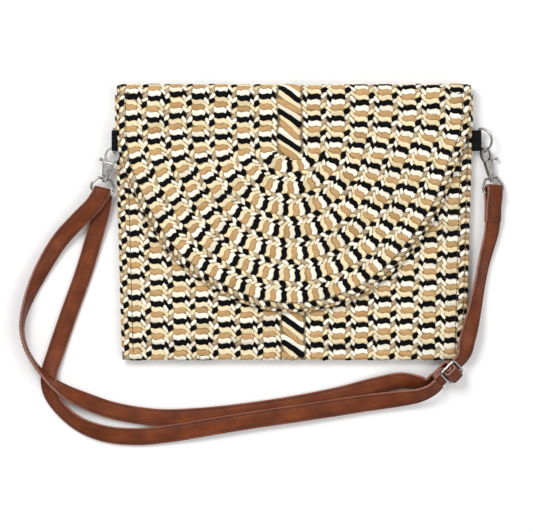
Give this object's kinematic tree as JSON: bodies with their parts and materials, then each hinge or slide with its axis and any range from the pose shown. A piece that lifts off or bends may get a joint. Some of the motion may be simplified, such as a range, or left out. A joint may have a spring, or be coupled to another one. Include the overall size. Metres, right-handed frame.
{
  "type": "crossbody purse",
  "caption": "Flat woven envelope purse lying on its back: rounded flap with a magnetic snap, lined body, side rings and a clip-on adjustable shoulder strap laid round it.",
  "frame": {"origin": "centre of the purse's rear panel on its outer face, which is the face it lies on", "axes": "+X across the purse, along the fold of the flap; +Y from the bottom edge towards the fold; +Z out of the front, through the flap"},
  "size_m": [0.4024, 0.2971, 0.0231],
  "materials": {
    "straw": "woven paper-straw braid in black, cream, tan and ivory",
    "lining": "plain-woven cotton",
    "webbing": "ribbed polyester webbing",
    "leather": "pebbled imitation leather, semi-gloss",
    "nickel": "bright nickel plate",
    "steel": "plain steel",
    "magnet": "sintered ferrite"
  },
  "bodies": {
    "purse": {"rear_panel": "straw", "front_panel": "straw", "rear_lining": "lining", "front_lining": "lining", "slip_pocket": "lining", "flap_fold": "straw", "fold_lining": "lining", "snap_socket": "nickel", "snap_magnet": "magnet", "snap_socket_washer": "steel", "right_tab": "webbing", "left_tab": "webbing", "right_hook": "nickel", "left_hook": "nickel", "right_gate_pin": "steel", "left_gate_pin": "steel", "right_gate_spring": "steel", "left_gate_spring": "steel", "strap_slider": "nickel", "strap_slider_pass": "leather", "strap_slider_loop": "leather", "strap_right_run": "leather", "strap_outer_run": "leather", "strap_inner_run": "leather"},
    "flap": {"flap_panel": "straw", "flap_lining": "lining", "snap_stud": "nickel", "snap_stud_washer": "steel"},
    "right_gate": {"right_gate": "nickel"},
    "left_gate": {"left_gate": "nickel"},
    "right_swivel": {"right_eye": "nickel", "strap_right_end": "leather"},
    "left_swivel": {"left_eye": "nickel", "strap_left_loop": "leather"},
    "right_ring": {"right_ring": "nickel"},
    "left_ring": {"left_ring": "nickel"}
  },
  "joints": [
    {"name": "flap_hinge", "type": "hinge", "parent": "purse", "child": "flap", "pos_m": [0, 0.10785, 0.00815], "axis": [-1, 0, 0], "range_deg": [0, 179], "deforming": ["flap_fold", "fold_lining"]},
    {"name": "right_gate_hinge", "type": "hinge", "parent": "purse", "child": "right_gate", "pos_m": [0.16491, 0.0501, 0.00509], "axis": [0.7084, 0.1249, 0.6947], "range_deg": [0, 11], "stiffness_Nm_per_rad": 0.02, "springref_deg": -11.46},
    {"name": "left_gate_hinge", "type": "hinge", "parent": "purse", "child": "left_gate", "pos_m": [-0.15827, 0.0498, 0.00878], "axis": [0.1355, -0.0318, -0.9903], "range_deg": [0, 10], "stiffness_Nm_per_rad": 0.02, "springref_deg": -11.46},
    {"name": "right_swivel", "type": "hinge", "parent": "purse", "child": "right_swivel", "pos_m": [0.1647, 0.0393, 0.00725], "axis": [-0.1736, 0.9848, 0], "range_deg": [-12, 12]},
    {"name": "left_swivel", "type": "hinge", "parent": "purse", "child": "left_swivel", "pos_m": [-0.1578, 0.0388, 0.0092], "axis": [0.2284, 0.9736, 0], "range_deg": [-12, 12]},
    {"name": "right_ring_swing", "type": "hinge", "parent": "purse", "child": "right_ring", "pos_m": [0.1547, 0.0692, 0.0074], "axis": [0, 1, 0], "range_deg": [-2, 2]},
    {"name": "left_ring_swing", "type": "hinge", "parent": "purse", "child": "left_ring", "pos_m": [-0.1503, 0.069, 0.013], "axis": [0, 1, 0], "range_deg": [-1, 2]}
  ]
}
